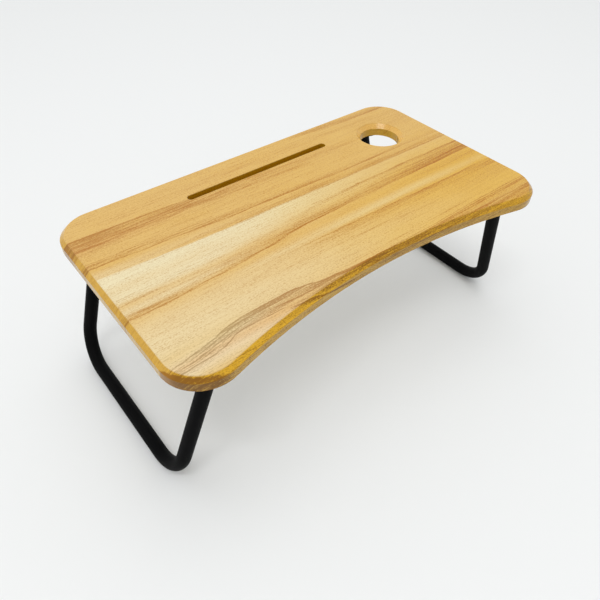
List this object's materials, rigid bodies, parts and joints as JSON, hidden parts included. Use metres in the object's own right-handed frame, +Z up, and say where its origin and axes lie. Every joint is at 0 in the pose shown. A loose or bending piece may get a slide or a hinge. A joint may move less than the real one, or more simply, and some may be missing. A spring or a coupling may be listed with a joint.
{
  "type": "folding laptop table",
  "caption": "Low folding table for a laptop in bed: wood-grain board with a belly curve, a tablet slot and a cup hole, on folding U-shaped tube legs.",
  "frame": {"origin": "on the floor under the middle of the board", "axes": "+X to the user's right, towards the cup hole; +Y away from the user, towards the straight edge; +Z up"},
  "size_m": [0.63, 0.34, 0.24],
  "materials": {
    "mdf": "raw fibreboard",
    "wood_foil": "satin printed foil",
    "backing": "matte laminate",
    "black_steel": "satin",
    "zinc_steel": "zinc plated",
    "nylon": "matte"
  },
  "bodies": {
    "tabletop": {"mdf_core": "mdf", "wood_grain_foil": "wood_foil", "backing_sheet": "backing", "left_front_hinge_bracket": "black_steel", "left_front_bracket_screws": "zinc_steel", "left_front_pivot_rivet": "zinc_steel", "left_front_stop_rivet": "zinc_steel", "left_back_hinge_bracket": "black_steel", "left_back_bracket_screws": "zinc_steel", "left_back_pivot_rivet": "zinc_steel", "left_back_stop_rivet": "zinc_steel", "right_front_hinge_bracket": "black_steel", "right_front_bracket_screws": "zinc_steel", "right_front_pivot_rivet": "zinc_steel", "right_front_stop_rivet": "zinc_steel", "right_back_hinge_bracket": "black_steel", "right_back_bracket_screws": "zinc_steel", "right_back_pivot_rivet": "zinc_steel", "right_back_stop_rivet": "zinc_steel"},
    "left_leg": {"left_leg_tube": "black_steel", "left_front_pivot_sleeve": "nylon", "left_front_friction_washers": "nylon", "left_front_tube_plug": "nylon", "left_back_pivot_sleeve": "nylon", "left_back_friction_washers": "nylon", "left_back_tube_plug": "nylon"},
    "right_leg": {"right_leg_tube": "black_steel", "right_front_pivot_sleeve": "nylon", "right_front_friction_washers": "nylon", "right_front_tube_plug": "nylon", "right_back_pivot_sleeve": "nylon", "right_back_friction_washers": "nylon", "right_back_tube_plug": "nylon"}
  },
  "joints": [
    {"name": "left_leg_fold", "type": "hinge", "parent": "tabletop", "child": "left_leg", "pos_m": [-0.245, 0.01225, 0.2073], "axis": [0, -1, 0], "range_deg": [0, 108]},
    {"name": "right_leg_fold", "type": "hinge", "parent": "tabletop", "child": "right_leg", "pos_m": [0.245, 0.01225, 0.2073], "axis": [0, 1, 0], "range_deg": [0, 108]}
  ]
}
